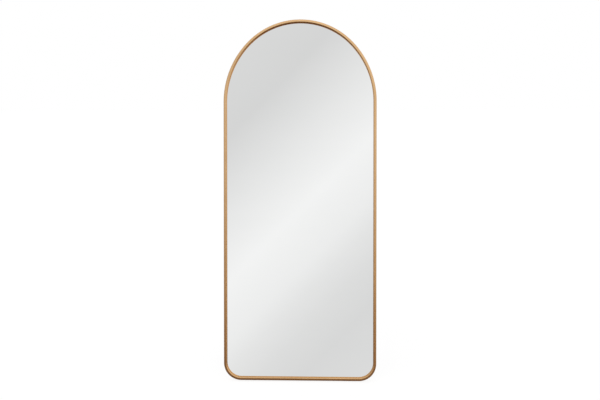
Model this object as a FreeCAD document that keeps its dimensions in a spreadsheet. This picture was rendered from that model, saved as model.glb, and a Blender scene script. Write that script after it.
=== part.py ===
import FreeCAD, Part

import math
import os
import re

import Sketcher
from FreeCAD import Placement, Rotation, Vector

# A free-standing leaning mirror with an arched top: a bent aluminium frame, a glazing
# stack held from behind, and a folding stand of bent tube.
# The pieces are drawn in the mirror's own directions: X across, Y from the front face
# towards the back, Z up the mirror from the frame's bottom edge. At the end each piece
# is leaned back and stood on the floor.

# name, value in mm (angles in degrees), meaning
SIZES = (
    ("width", 762, "frame, outer width"),
    ("height", 1800, "frame, outer height along its face"),
    ("arch_shift", 44.4, "shift of the three arch centres from the middle of the springing line"),
    ("corner_radius", 87, "frame, outer radius of the two bottom corners"),
    ("lean", 8, "angle of the mirror from upright"),
    ("face_width", 14.5, "frame, width of the front tube"),
    ("tube_depth", 14, "frame, depth of the front tube"),
    ("frame_depth", 35, "frame, whole depth with its rear leg"),
    ("leg_width", 7, "frame, width of the rear leg"),
    ("front_radius", 4, "frame, rounding of the two front edges"),
    ("face_wall", 2.4, "frame, front wall"),
    ("tube_wall", 1.6, "frame, other walls of the tube"),
    ("groove_width", 3.4, "screw groove in the rear leg, width"),
    ("groove_depth", 14, "screw groove in the rear leg, depth"),
    ("splice_height", 423, "height of the joint between hoop and base"),
    ("key_length", 120, "splice key, length"),
    ("key_play", 0.1, "splice key, clearance on each side"),
    ("key_screw_inset", 10.5, "splice screws, distance from the frame's outer edge"),
    ("key_screw_pitch", 28, "splice screws, distance between neighbours"),
    ("key_screw_radius", 1.25, "splice screw, shank radius"),
    ("key_screw_head", 2.3, "splice screw, head radius"),
    ("key_screw_sink", 1.2, "splice screw, depth of the countersunk head"),
    ("key_screw_length", 8, "splice screw, length"),
    ("gasket_thick", 0.5, "glazing gasket, thickness"),
    ("gasket_width", 4.5, "glazing gasket, width"),
    ("glass_gap", 2.5, "gap between the glass edge and the frame leg"),
    ("glass_thick", 4, "mirror glass, thickness"),
    ("film_thick", 0.3, "safety film, thickness"),
    ("card_thick", 3, "cardboard sheet, thickness"),
    ("board_thick", 5, "backing board, thickness"),
    ("board_gap", 0.5, "gap between the board edge and the frame leg"),
    ("block_length", 60, "setting blocks and edge spacers, length"),
    ("block_inset", 191, "setting blocks, distance from the frame's side edge"),
    ("spacer_rise", 177, "lower edge spacers, distance above the splice"),
    ("spacer_drop", 143, "upper edge spacers, distance below the springing line"),
    ("brace_metal", 1.5, "rear braces, sheet thickness"),
    ("brace_width", 30, "upper and lower brace, width"),
    ("brace_play", 0.5, "rear braces, gap inside the frame legs"),
    ("tab_setback", 0.5, "rear braces, end tab inside the frame's outer edge"),
    ("low_brace_height", 340, "lower brace, height of its middle"),
    ("high_brace_drop", 23, "upper brace, its middle below the springing line"),
    ("rail_width", 76, "hinge rail, width"),
    ("brace_screw_edge", 9, "brace screws, distance from the brace's edge"),
    ("frame_screw_radius", 1.6, "screws into the rear groove, shank radius"),
    ("frame_screw_head", 3.2, "screws into the rear groove, head radius"),
    ("frame_screw_rise", 2.2, "screws into the rear groove, head height"),
    ("frame_screw_length", 12, "screws into the rear groove, length"),
    ("screw_edge", 0.6, "rounding of the screw and rivet heads"),
    ("hole_play", 0.15, "clearance of screws and rivets in their holes"),
    ("clip_metal", 1, "retaining clip, sheet thickness"),
    ("clip_width", 20, "retaining clip, width"),
    ("clip_reach", 24, "retaining clip, reach from the frame's outer edge"),
    ("clip_setback", 0.6, "retaining clip, tab inside the frame's outer edge"),
    ("clip_inset", 261, "bottom clips, distance from the frame's side edge"),
    ("clip_angle", 36, "arch clips, angle between neighbours"),
    ("hinge_height", 1000, "stand axis, height up the mirror"),
    ("hinge_depth", 49, "stand axis, distance behind the frame's front"),
    ("leg_inset", 24, "stand legs, distance from the frame's outer edge"),
    ("plate_thick", 2, "hinge bracket, base plate"),
    ("plate_width", 32, "hinge bracket, base plate width"),
    ("plate_below", 28, "hinge bracket, base plate below the axis"),
    ("plate_above", 38, "hinge bracket, base plate above the axis"),
    ("ear_thick", 2, "hinge bracket, ear thickness"),
    ("ear_radius", 9, "hinge bracket, ear radius"),
    ("rivet_radius", 2, "rivets, shank radius"),
    ("rivet_head", 3.6, "rivets, head radius"),
    ("rivet_rise", 1.2, "rivets, head height"),
    ("rivet_tail", 2.2, "rivets, length of the set tail"),
    ("rivet_edge", 7, "bracket rivets, distance from the plate's edges"),
    ("washer_thick", 1, "hinge washer, thickness"),
    ("washer_radius", 7, "hinge washer, outer radius"),
    ("side_play", 0.15, "hinge lug, clearance to each washer"),
    ("pin_radius", 3, "hinge pin, radius"),
    ("pin_play", 0.06, "hinge pin, running clearance"),
    ("pin_head", 5.5, "hinge pin, head radius"),
    ("pin_head_thick", 3, "hinge pin, head thickness"),
    ("nut_reach", 5, "hinge nut, half width across flats"),
    ("nut_thick", 5, "hinge nut, thickness"),
    ("lug_thick", 6, "hinge lug, thickness"),
    ("lug_radius", 8, "hinge lug, radius round the pin"),
    ("lug_length", 22, "hinge lug, from the axis to its collar"),
    ("collar_thick", 3, "hinge lug, collar on the tube's end"),
    ("spigot_length", 28, "hinge lug, spigot in the tube"),
    ("heel_height", 34, "hinge lug, reach of the stop heel above the axis"),
    ("heel_start", 2, "hinge lug, start of the stop heel above the axis"),
    ("stop_play", 0.15, "hinge lug, gap between heel and base plate"),
    ("stand_opening", 16, "stand, angle from the mirror when open"),
    ("stand_radius", 8, "stand tube, outer radius"),
    ("stand_wall", 1.2, "stand tube, wall"),
    ("fit_play", 0.05, "clearance of the spigots and sleeves on the tube"),
    ("bend_radius", 60, "stand tube, radius of the two bends"),
    ("sleeve_radius", 12.5, "stand sleeve, outer radius"),
    ("sleeve_edge", 2, "stand sleeve, rounding of its ends"),
    ("sleeve_length", 60, "stand sleeve, length"),
    ("sleeve_inset", 151, "stand sleeve, distance from the frame's side edge"),
    ("hanger_inset", 131, "hanger rings, distance from the frame's side edge"),
    ("strap_thick", 1.5, "hanger strap, thickness"),
    ("strap_width", 14, "hanger strap, width"),
    ("strap_length", 34, "hanger strap, from the ring's bar to its upper end"),
    ("strap_drop", 6, "hanger strap, ring's bar below the brace's edge"),
    ("strap_rivet_pitch", 16, "hanger rivets, distance between the two"),
    ("ring_wire", 1.5, "hanger ring, wire radius"),
    ("ring_width", 22, "hanger ring, width between wire centres"),
    ("ring_side", 10, "hanger ring, straight length of its sides"),
    ("ring_corner", 3, "hanger ring, radius of its two tight corners"),
    ("ring_gap", 0.6, "hanger ring, gap between the wire's ends"),
    ("foot_inset", 131, "floor feet, distance from the frame's side edge"),
    ("foot_length", 60, "floor feet, length"),
    ("foot_front", 16, "floor feet, front edge behind the frame's front"),
    ("foot_rear", 33, "floor feet, rear edge behind the frame's front"),
    ("foot_least", 1.5, "floor feet, least thickness at the rear edge"),
)

doc = FreeCAD.newDocument("leaning_mirror")
sheet = doc.addObject("Spreadsheet::Sheet", "Sizes")
for row, (alias, value, meaning) in enumerate(SIZES, start=1):
    sheet.set(f"A{row}", meaning)
    sheet.set(f"B{row}", str(value))
    sheet.setAlias(f"B{row}", alias)
doc.recompute()
ALIASES = {alias for alias, value, meaning in SIZES}

# Places that several pieces share, as expressions of the sheet.
SPRINGING = "(height - width/2 - arch_shift*(2 - sqrt(2)))"
CROWN_CENTRE = "(height - width/2 - arch_shift*(1 - sqrt(2)))"
GROOVE_INSET = "((leg_width - groove_width)/2)"
GROOVE_MIDDLE = "(leg_width/2)"
GLASS_INSET = "(leg_width + glass_gap)"
GLASS_FRONT = "(tube_depth + gasket_thick)"
GLASS_BACK = "(tube_depth + gasket_thick + glass_thick)"
FILM_BACK = f"({GLASS_BACK} + film_thick)"
CARD_BACK = f"({FILM_BACK} + card_thick)"
BOARD_BACK = f"({CARD_BACK} + board_thick)"
WEB_BACK = "(frame_depth + brace_metal)"
PLATE_BACK = f"({WEB_BACK} + plate_thick)"
LEG_SIDE = "(width/2 - leg_inset)"
HANGER_SIDE = "(width/2 - hanger_inset)"
HIGH_BRACE = f"({SPRINGING} - high_brace_drop)"
RAIL_MIDDLE = "(hinge_height + (plate_above - plate_below)/2)"
WASHER_SIDE = "(lug_thick/2 + side_play)"
EAR_SIDE = f"({WASHER_SIDE} + washer_thick)"
EAR_BACK = f"({EAR_SIDE} + ear_thick)"
RING_DEPTH = f"({WEB_BACK} + strap_thick + pin_play + ring_wire)"
RING_HEIGHT = f"({HIGH_BRACE} - brace_width/2 - strap_drop)"

# Each finished piece by its name, with the placement that stands it on the floor.
PIECES = {}


def bound(text):
    """Write an expression with each size's name pointing to its cell in the sheet."""
    return re.sub("[a-z_]+", lambda word: f"Sizes.{word[0]}" if word[0] in ALIASES else word[0], text)


def bind(feature, texts):
    """Tie properties of a feature to expressions of the sheet."""
    for path, text in texts.items():
        feature.setExpression(path, bound(text))


def sine(degrees):
    return math.sin(math.radians(degrees))


def cosine(degrees):
    return math.cos(math.radians(degrees))


# Plain solids and how they are joined


def block(name, across, deep, up):
    """Add a box between two ends along X, Y and Z."""
    box = doc.addObject("Part::Box", name)
    for side, axis, (low, high) in zip(("Length", "Width", "Height"), "xyz", (across, deep, up)):
        bind(box, {side: f"{high} - ({low})", f"Placement.Base.{axis}": low})
    return box


TURNS = {"x": Rotation(Vector(0, 1, 0), 90), "y": Rotation(Vector(1, 0, 0), -90), "z": Rotation()}


def rod(name, radius, axis, start, end, centre):
    """Add a cylinder along an axis; centre holds its places along the other two axes."""
    cylinder = doc.addObject("Part::Cylinder", name)
    cylinder.Placement = Placement(Vector(), TURNS[axis])
    bind(cylinder, {"Radius": radius, "Height": f"{end} - ({start})", f"Placement.Base.{axis}": start})
    for other, text in zip([letter for letter in "xyz" if letter != axis], centre):
        bind(cylinder, {f"Placement.Base.{other}": text})
    return cylinder


def fuse(name, *solids):
    joined = doc.addObject("Part::MultiFuse", name)
    joined.Shapes = list(solids)
    return joined


def group(name, *solids):
    together = doc.addObject("Part::Compound", name)
    together.Links = list(solids)
    return together


def cut(name, base, *tools):
    result = doc.addObject("Part::Cut", name)
    result.Base = base
    result.Tool = tools[0] if len(tools) == 1 else fuse(f"{name}_voids", *tools)
    return result


def common(name, first, second):
    shared = doc.addObject("Part::Common", name)
    shared.Base = first
    shared.Tool = second
    return shared


def mirrored(name, source):
    """Add the other-hand copy of a solid, across the middle plane."""
    copy = doc.addObject("Part::Mirroring", name)
    copy.Source = source
    copy.Normal = Vector(1, 0, 0)
    return copy


def scatter(name, source, places):
    """Repeat a solid at a list of placements, as one group of separate solids."""
    doc.recompute()
    copies = doc.addObject("Part::Feature", name)
    copies.Shape = Part.makeCompound([source.Shape.transformed(spot.toMatrix()) for spot in places])
    return copies


# Sketched solids


def new_body(name):
    return doc.addObject("PartDesign::Body", name)


def origin_plane(body, role):
    return next(feature for feature in body.Origin.OriginFeatures if feature.Role == role)


def sketch_on(body, role, offset="0"):
    """Add a sketch on an origin plane of the body, moved along +X, +Y or +Z."""
    sketch = body.newObject("Sketcher::SketchObject", f"{body.Name}_sketch")
    sketch.AttachmentSupport = [(origin_plane(body, role), "")]
    sketch.MapMode = "FlatFace"
    sign = "-" if role == "XZ_Plane" else ""
    bind(sketch, {"AttachmentOffset.Base.z": f"{sign}({offset})"})
    return sketch


def dimension(sketch, kind, target, text):
    """Drive one dimension of a sketch; target ends with the value it is drawn at."""
    index = sketch.addConstraint(Sketcher.Constraint(kind, *target))
    bind(sketch, {f"Constraints[{index}]": text})


def pin_point(sketch, geometry, point, drawn, across, up):
    """Hold a point of a sketch at two expressions, measured from the sketch's origin."""
    dimension(sketch, "DistanceX", (-1, 1, geometry, point, drawn.x), across)
    dimension(sketch, "DistanceY", (-1, 1, geometry, point, drawn.y), up)


def polygon(sketch, corners):
    """Draw a closed chain of lines through corners given as pairs of expressions."""
    count = len(corners)
    ring = [Vector(cosine(360 * i / count), sine(360 * i / count), 0) for i in range(count)]
    for i in range(count):
        sketch.addGeometry(Part.LineSegment(ring[i], ring[(i + 1) % count]))
    for i in range(count):
        sketch.addConstraint(Sketcher.Constraint("Coincident", i, 2, (i + 1) % count, 1))
    for i, (across, up) in enumerate(corners):
        pin_point(sketch, i, 1, ring[i], across, up)


def circle(sketch, radius, across="0", up="0"):
    index = sketch.addGeometry(Part.Circle(Vector(), Vector(0, 0, 1), 1))
    pin_point(sketch, index, 3, Vector(), across, up)
    dimension(sketch, "Radius", (index, 1), radius)


def pad(body, role, start, end, corners):
    """Raise a polygon on an origin plane from start to end along the plane's axis."""
    sketch = sketch_on(body, role, start)
    polygon(sketch, corners)
    feature = body.newObject("PartDesign::Pad", f"{body.Name}_pad")
    feature.Profile = sketch
    feature.Reversed = role == "XZ_Plane"
    bind(feature, {"Length": f"{end} - ({start})"})
    return feature


def turned(name, corners):
    """Turn a closed profile, given as pairs of radius and height, round the Z axis."""
    body = new_body(name)
    sketch = sketch_on(body, "XZ_Plane")
    polygon(sketch, corners)
    feature = body.newObject("PartDesign::Revolution", f"{name}_turn")
    feature.Profile = sketch
    feature.ReferenceAxis = (sketch, ["V_Axis"])
    feature.Angle = 360
    return body


def arc(centre_x, centre_y, radius, start, end):
    """Draw an arc from start to end, in degrees counterclockwise from the sketch's X."""
    ring = Part.Circle(Vector(centre_x, centre_y, 0), Vector(0, 0, 1), radius)
    return Part.ArcOfCircle(ring, math.radians(start), math.radians(end))


def line(start, end):
    return Part.LineSegment(Vector(*start, 0), Vector(*end, 0))


def add_piece(name, feature, spot=None):
    """Register a finished piece and name it."""
    feature.Label = name
    PIECES[name] = (feature, spot or Placement())


def add_pair(name, right, spot=None):
    """Register a right-hand solid and its mirror image as two pieces."""
    add_piece(f"{name}_right", group(f"{name}_right", right), spot)
    add_piece(f"{name}_left", mirrored(f"{name}_left", right), spot)


# The outline: two straight sides, a bottom with two round corners, and an arch of three
# arcs. The side arcs are struck on the springing line, each shifted to the far side, and
# the crown arc is struck the same distance above it, so that they meet at 45 degrees.


def crown_radius():
    return sheet.width / 2 + sheet.arch_shift * (1 - math.sqrt(2))


def springing_height():
    return sheet.height - sheet.arch_shift - crown_radius()


def draw_outline():
    sketch = doc.addObject("Sketcher::SketchObject", "outline")
    sketch.Placement = Placement(Vector(), Rotation(Vector(1, 0, 0), 90))
    half = sheet.width / 2
    shift = sheet.arch_shift
    corner = sheet.corner_radius
    side = half + shift
    crown = crown_radius()
    spring = springing_height()
    sketch.addGeometry(
        [
            line((half, corner), (half, spring)),
            arc(-shift, spring, side, 0, 45),
            arc(0, spring + shift, crown, 45, 135),
            arc(shift, spring, side, 135, 180),
            line((-half, spring), (-half, corner)),
            arc(corner - half, corner, corner, 180, 270),
            line((corner - half, 0), (half - corner, 0)),
            arc(half - corner, corner, corner, 270, 360),
        ],
        False,
    )
    right_side, right_arc, crown_arc, left_arc, left_side, left_corner, bottom, right_corner = range(8)
    for index in range(8):
        sketch.addConstraint(Sketcher.Constraint("Tangent", index, 2, (index + 1) % 8, 1))
    for upright in (right_side, left_side):
        sketch.addConstraint(Sketcher.Constraint("Vertical", upright))
    sketch.addConstraint(Sketcher.Constraint("Horizontal", bottom))
    sketch.addConstraint(Sketcher.Constraint("PointOnObject", bottom, 1, -1))
    for side_arc, centre, text in ((right_arc, -shift, "-arch_shift"), (left_arc, shift, "arch_shift")):
        dimension(sketch, "Radius", (side_arc, side), "width/2 + arch_shift")
        pin_point(sketch, side_arc, 3, Vector(centre, spring, 0), text, SPRINGING)
    dimension(sketch, "DistanceY", (-1, 1, crown_arc, 3, spring + shift), CROWN_CENTRE)
    for round_corner in (left_corner, right_corner):
        dimension(sketch, "Radius", (round_corner, corner), "corner_radius")
    return sketch


def slab(name, inset, front, back):
    """Fill the outline, drawn in by an inset, between two depths behind the front face."""
    rim = outline
    if inset != "0":
        rim = doc.addObject("Part::Offset2D", f"{name}_rim")
        rim.Source = outline
        bind(rim, {"Value": f"-({inset})"})
    solid = doc.addObject("Part::Extrusion", name)
    solid.Base = rim
    solid.DirMode = "Custom"
    solid.Dir = Vector(0, 1, 0)
    solid.Solid = True
    bind(solid, {"LengthFwd": back, "LengthRev": f"-({front})"})
    return solid


def band(name, outer, inner, front, back):
    """Fill the strip between two insets of the outline."""
    return cut(name, slab(f"{name}_outer", outer, front, back), slab(f"{name}_inner", inner, front, back))


# The frame: one extruded section bent round the outline, with a hollow front tube, a
# rear leg with a screw groove, and a rebate for the glazing. It is made in two lengths,
# the hoop above and the base below, joined on both sides by keys in the front tube.


def round_front(ring):
    """Round the outer and inner edges of the frame's front face."""
    doc.recompute()
    front = doc.addObject("Part::Fillet", "frame_rounded")
    front.Base = ring
    radius = sheet.front_radius
    on_front = [edge.BoundBox.YMax < 0.001 for edge in ring.Shape.Edges]
    front.Edges = [(index, radius, radius) for index, is_front in enumerate(on_front, start=1) if is_front]
    return front


def key_screw_spots():
    """List the splice screws: four on each side, two above and two below the joint."""
    across = sheet.width / 2 - sheet.key_screw_inset
    rows = [sheet.splice_height + sheet.key_screw_pitch * step for step in (-1.5, -0.5, 0.5, 1.5)]
    places = [Vector(sign * across, sheet.tube_depth, up) for sign in (1, -1) for up in rows]
    return [Placement(place, TURNS["y"]) for place in places]


def countersunk(name, play):
    """Turn a countersunk screw, or with play the hole that it needs, its head's top at zero."""
    return turned(
        name,
        (
            ("0", "0"),
            (f"key_screw_head + {play}", "0"),
            (f"key_screw_radius + {play}", "-key_screw_sink"),
            (f"key_screw_radius + {play}", f"-key_screw_length - {play}"),
            ("0", f"-key_screw_length - {play}"),
        ),
    )


def make_frame():
    blank = slab("frame_blank", "0", "0", "frame_depth")
    sight = slab("frame_sight", "face_width", "-front_radius", "tube_depth")
    rebate = slab("frame_rebate", "leg_width", "tube_depth", "frame_depth + front_radius")
    ring = cut("frame_ring", blank, sight, rebate)
    hollow = band(
        "frame_hollow", "tube_wall", "face_width - tube_wall", "face_wall", "tube_depth - tube_wall"
    )
    groove = band(
        "frame_groove",
        GROOVE_INSET,
        f"{GROOVE_INSET} + groove_width",
        "frame_depth - groove_depth",
        "frame_depth + groove_depth",
    )
    holes = scatter("splice_holes", countersunk("splice_hole", "fit_play"), key_screw_spots())
    section = cut("frame_section", round_front(ring), hollow, groove)
    bent = cut("frame_bent", section, holes)
    reach = ("-width", "width")
    deep = ("-frame_depth", "2*frame_depth")
    above = block("above_splice", reach, deep, ("splice_height", "2*height"))
    below = block("below_splice", reach, deep, ("-height", "splice_height"))
    add_piece("frame_hoop", common("frame_hoop", bent, above))
    add_piece("frame_base", common("frame_base", bent, below))

    key = block(
        "key_bar",
        ("width/2 - face_width + tube_wall + key_play", "width/2 - tube_wall - key_play"),
        ("face_wall + key_play", "tube_depth - tube_wall - key_play"),
        ("splice_height - key_length/2", "splice_height + key_length/2"),
    )
    add_pair("splice_key", cut("key_drilled", key, holes))
    add_piece("splice_screws", scatter("splice_screws", countersunk("splice_screw", "0"), key_screw_spots()))


# The glazing stack, from the front: gasket, mirror glass, safety film, cardboard, board. The
# glass stands on two setting blocks and is kept central by spacers along its sides.


def make_glazing():
    gasket_inner = f"{GLASS_INSET} + gasket_width"
    add_piece("glazing_gasket", band("glazing_gasket", GLASS_INSET, gasket_inner, "tube_depth", GLASS_FRONT))
    add_piece("mirror_glass", slab("mirror_glass", GLASS_INSET, GLASS_FRONT, GLASS_BACK))
    add_piece("safety_film", slab("safety_film", GLASS_INSET, GLASS_BACK, FILM_BACK))
    add_piece("cardboard_sheet", slab("cardboard_sheet", GLASS_INSET, FILM_BACK, CARD_BACK))
    add_piece("backing_board", slab("backing_board", "leg_width + board_gap", CARD_BACK, BOARD_BACK))

    blocks = []
    for sign in ("", "-"):
        middle = f"{sign}(width/2 - block_inset)"
        across = (f"{middle} - block_length/2", f"{middle} + block_length/2")
        blocks.append(block("setting_block", across, (GLASS_FRONT, GLASS_BACK), ("leg_width", GLASS_INSET)))
    add_piece("setting_blocks", group("setting_blocks", *blocks))

    spacers = []
    inner = f"width/2 - {GLASS_INSET}"
    outer = "width/2 - leg_width"
    for across in ((inner, outer), (f"-({outer})", f"-({inner})")):
        for height in ("(splice_height + spacer_rise)", f"({SPRINGING} - spacer_drop)"):
            up = (f"{height} - block_length/2", f"{height} + block_length/2")
            spacers.append(block("edge_spacer", across, (GLASS_FRONT, GLASS_BACK), up))
    add_piece("edge_spacers", group("edge_spacers", *spacers))


# The rear hardware: pressed steel braces whose end tabs lie on the frame, and clips along
# the rest of the rim. All are screwed into the groove of the rear leg.


def headed(name, radius, length, head, rise):
    """Turn a screw or rivet with a rounded flat head, its underside at zero."""
    return turned(
        name,
        (
            ("0", rise),
            (f"{head} - screw_edge", rise),
            (head, f"{rise} - screw_edge"),
            (head, "0"),
            (radius, "0"),
            (radius, f"-({length})"),
            ("0", f"-({length})"),
        ),
    )


def frame_screw(name):
    return headed(name, "frame_screw_radius", "frame_screw_length", "frame_screw_head", "frame_screw_rise")


def rivet_through(name, grip):
    """Turn a set rivet: a head, a shank through the sheets it grips, and its tail."""
    return headed(name, "rivet_radius", f"{grip} + brace_metal + rivet_tail", "rivet_head", "rivet_rise")


def high_brace_height():
    return springing_height() - sheet.high_brace_drop


def brace_profile(middle, width):
    """Give the brace's channel in depth and height: a web with two flanges to the board."""
    low = f"{middle} - {width}/2"
    high = f"{middle} + {width}/2"
    return (
        (WEB_BACK, low),
        (WEB_BACK, high),
        (BOARD_BACK, high),
        (BOARD_BACK, f"{high} - brace_metal"),
        ("frame_depth", f"{high} - brace_metal"),
        ("frame_depth", f"{low} + brace_metal"),
        (BOARD_BACK, f"{low} + brace_metal"),
        (BOARD_BACK, low),
    )


def brace_blank(name, middle, width):
    """Press a channel brace with flat tabs at both ends."""
    body = new_body(f"{name}_blank")
    reach = "(width/2 - leg_width - brace_play)"
    tab = "(width/2 - tab_setback)"
    pad(body, "YZ_Plane", f"-{reach}", reach, brace_profile(middle, width))
    low = f"{middle} - {width}/2"
    high = f"{middle} + {width}/2"
    corners = ((f"-{tab}", low), (tab, low), (tab, high), (f"-{tab}", high))
    pad(body, "XZ_Plane", "frame_depth", WEB_BACK, corners)
    return body


def brace_screw_spots(middle, width):
    """List the four screws that hold a brace: two in the frame groove at each end."""
    across = sheet.width / 2 - sheet.leg_width / 2
    rise = width / 2 - sheet.brace_screw_edge
    depth = sheet.frame_depth + sheet.brace_metal
    places = [Vector(x, depth, middle + up) for x in (across, -across) for up in (rise, -rise)]
    return [Placement(place, TURNS["y"]) for place in places]


def drill(name, spots, radius):
    """Make the round holes that a list of fasteners needs through thin sheet."""
    doc.recompute()
    bit = rod(f"{name}_bit", f"{radius} + hole_play", "z", "-frame_depth/2", "frame_depth/2", ("0", "0"))
    return scatter(f"{name}_holes", bit, spots)


def hanger_rivet_spots():
    """List the rivets of the two hangers, two through each strap and the upper brace."""
    depth = sheet.frame_depth + sheet.brace_metal + sheet.strap_thick
    rise = sheet.strap_rivet_pitch / 2
    side = sheet.width / 2 - sheet.hanger_inset
    heights = [high_brace_height() + up for up in (rise, -rise)]
    places = [Vector(sign * side, depth, up) for sign in (1, -1) for up in heights]
    return [Placement(place, TURNS["y"]) for place in places]


def bracket_rivet_spots():
    """List the rivets at the corners of the two hinge brackets."""
    depth = sheet.frame_depth + sheet.brace_metal + sheet.plate_thick
    half = sheet.plate_width / 2 - sheet.rivet_edge
    heights = (
        sheet.hinge_height - sheet.plate_below + sheet.rivet_edge,
        sheet.hinge_height + sheet.plate_above - sheet.rivet_edge,
    )
    leg = sheet.width / 2 - sheet.leg_inset
    across = [sign * leg + side for sign in (1, -1) for side in (half, -half)]
    return [Placement(Vector(x, depth, up), TURNS["y"]) for x in across for up in heights]


def make_braces():
    low_screws = brace_screw_spots(sheet.low_brace_height, sheet.brace_width)
    high_screws = brace_screw_spots(high_brace_height(), sheet.brace_width)
    rail_middle = sheet.hinge_height + (sheet.plate_above - sheet.plate_below) / 2
    rail_screws = brace_screw_spots(rail_middle, sheet.rail_width)

    low = brace_blank("lower_brace", "low_brace_height", "brace_width")
    low_holes = drill("lower_brace", low_screws, "frame_screw_radius")
    add_piece("lower_brace", cut("lower_brace", low, low_holes))

    high = brace_blank("upper_brace", HIGH_BRACE, "brace_width")
    high_holes = drill("upper_brace", high_screws, "frame_screw_radius")
    hanger_holes = drill("hanger", hanger_rivet_spots(), "rivet_radius")
    add_piece("upper_brace", cut("upper_brace", high, high_holes, hanger_holes))

    rail = brace_blank("hinge_rail", RAIL_MIDDLE, "rail_width")
    rail_holes = drill("hinge_rail", rail_screws, "frame_screw_radius")
    bracket_holes = drill("bracket", bracket_rivet_spots(), "rivet_radius")
    add_piece("hinge_rail", cut("hinge_rail", rail, rail_holes, bracket_holes))

    screw = frame_screw("brace_screw")
    add_piece("brace_screws", scatter("brace_screws", screw, low_screws + high_screws + rail_screws))


def clip_spots():
    """List where the clips sit on the frame's outer edge, each turned to face inward."""
    half = sheet.width / 2
    crown = crown_radius()
    centre = sheet.height - crown
    low = (sheet.low_brace_height + sheet.hinge_height) / 2
    high = (sheet.hinge_height + high_brace_height()) / 2
    stations = [(x, 0, -90) for x in (half - sheet.clip_inset, sheet.clip_inset - half)]
    stations += [(half, up, 0) for up in (low, high)]
    stations += [(-half, up, 180) for up in (low, high)]
    for angle in (90 - sheet.clip_angle, 90, 90 + sheet.clip_angle):
        stations.append((crown * cosine(angle), centre + crown * sine(angle), angle))
    return [
        Placement(Vector(x, 0, up), Rotation(Vector(0, 1, 0), -90 - bearing)) for x, up, bearing in stations
    ]


def make_clips():
    body = new_body("clip_blank")
    knee = "(leg_width + board_gap)"
    tab_back = "(frame_depth + clip_metal)"
    foot_back = f"({BOARD_BACK} + clip_metal)"
    profile = (
        ("frame_depth", "clip_setback"),
        ("frame_depth", knee),
        (BOARD_BACK, knee),
        (BOARD_BACK, "clip_reach"),
        (foot_back, "clip_reach"),
        (foot_back, f"{knee} + clip_metal"),
        (tab_back, f"{knee} + clip_metal"),
        (tab_back, "clip_setback"),
    )
    pad(body, "YZ_Plane", "-clip_width/2", "clip_width/2", profile)
    hole = rod(
        "clip_hole", "frame_screw_radius + hole_play", "y", "0", "2*frame_depth", ("0", GROOVE_MIDDLE)
    )
    clip = cut("clip_drilled", body, hole)
    add_piece("retaining_clips", scatter("retaining_clips", clip, clip_spots()))

    screw = frame_screw("clip_screw")
    seat = Vector(0, sheet.frame_depth + sheet.clip_metal, sheet.leg_width / 2)
    spots = [spot.multiply(Placement(seat, TURNS["y"])) for spot in clip_spots()]
    add_piece("clip_screws", scatter("clip_screws", screw, spots))


# The hinges of the stand. A riveted bracket with two ears carries a pin; the stand's lug
# turns on it between two washers. The lug's heel meets the bracket's base plate and stops
# the stand at its open angle.


def make_brackets():
    low = "hinge_height - plate_below"
    high = "hinge_height + plate_above"
    half = "plate_width/2"
    across = (f"{LEG_SIDE} - {half}", f"{LEG_SIDE} + {half}")
    parts = [block("bracket_plate", across, (WEB_BACK, PLATE_BACK), (low, high))]
    for near, far in ((EAR_SIDE, EAR_BACK), (f"-{EAR_BACK}", f"-{EAR_SIDE}")):
        across = (f"{LEG_SIDE} + {near}", f"{LEG_SIDE} + {far}")
        up = ("hinge_height - ear_radius", "hinge_height + ear_radius")
        parts.append(block("bracket_ear", across, (WEB_BACK, "hinge_depth"), up))
        parts.append(rod("bracket_ear_end", "ear_radius", "x", *across, ("hinge_depth", "hinge_height")))
    bore = rod(
        "bracket_bore",
        "pin_radius + pin_play",
        "x",
        f"{LEG_SIDE} - plate_width",
        f"{LEG_SIDE} + plate_width",
        ("hinge_depth", "hinge_height"),
    )
    rivet_holes = drill("bracket_plate", bracket_rivet_spots(), "rivet_radius")
    add_pair("hinge_bracket", cut("bracket_bored", fuse("bracket_solid", *parts), bore, rivet_holes))
    rivet = rivet_through("bracket_rivet", "plate_thick")
    add_piece("bracket_rivets", scatter("bracket_rivets", rivet, bracket_rivet_spots()))


def make_pins():
    centre = ("hinge_depth", "hinge_height")
    head_side = f"({LEG_SIDE} + {EAR_BACK})"
    nut_side = f"({LEG_SIDE} - {EAR_BACK})"
    head = rod("pin_head", "pin_head", "x", head_side, f"{head_side} + pin_head_thick", centre)
    shank = rod("pin_shank", "pin_radius", "x", f"{nut_side} - nut_thick - 1", head_side, centre)
    add_pair("hinge_pin", fuse("pin_solid", head, shank))

    nut = doc.addObject("Part::Prism", "nut_blank")
    nut.Polygon = 6
    nut.Placement = Placement(Vector(), TURNS["x"])
    bind(
        nut,
        {
            "Circumradius": "nut_reach/cos(30)",
            "Height": "nut_thick",
            "Placement.Base.x": f"{nut_side} - nut_thick",
            "Placement.Base.y": "hinge_depth",
            "Placement.Base.z": "hinge_height",
        },
    )
    thread = rod("nut_bore", "pin_radius + fit_play", "x", f"{nut_side} - 2*nut_thick", LEG_SIDE, centre)
    add_pair("hinge_nut", cut("nut_bored", nut, thread))

    washers = []
    for near, far in ((WASHER_SIDE, EAR_SIDE), (f"-{EAR_SIDE}", f"-{WASHER_SIDE}")):
        span = (f"{LEG_SIDE} + {near}", f"{LEG_SIDE} + {far}")
        disc = rod("washer_disc", "washer_radius", "x", *span, centre)
        eye = rod("washer_eye", "pin_radius + hole_play", "x", "0", "width", centre)
        washers.append(cut("washer_right", disc, eye))
    others = [mirrored("washer_left", washer) for washer in washers]
    add_piece("hinge_washers", group("hinge_washers", *washers, *others))


# The stand: one tube bent to a U, a lug fixed in each upper end, and two rubber sleeves on
# the crossbar. It is drawn with the stand's axis along X through the origin and its legs
# pointing down.


def stand_length():
    """Find the legs' length from the axis to the crossbar that rests the sleeves on the floor."""
    rise = axis_height() - sheet.sleeve_radius
    return rise / cosine(sheet.stand_opening - sheet.lean)


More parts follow.
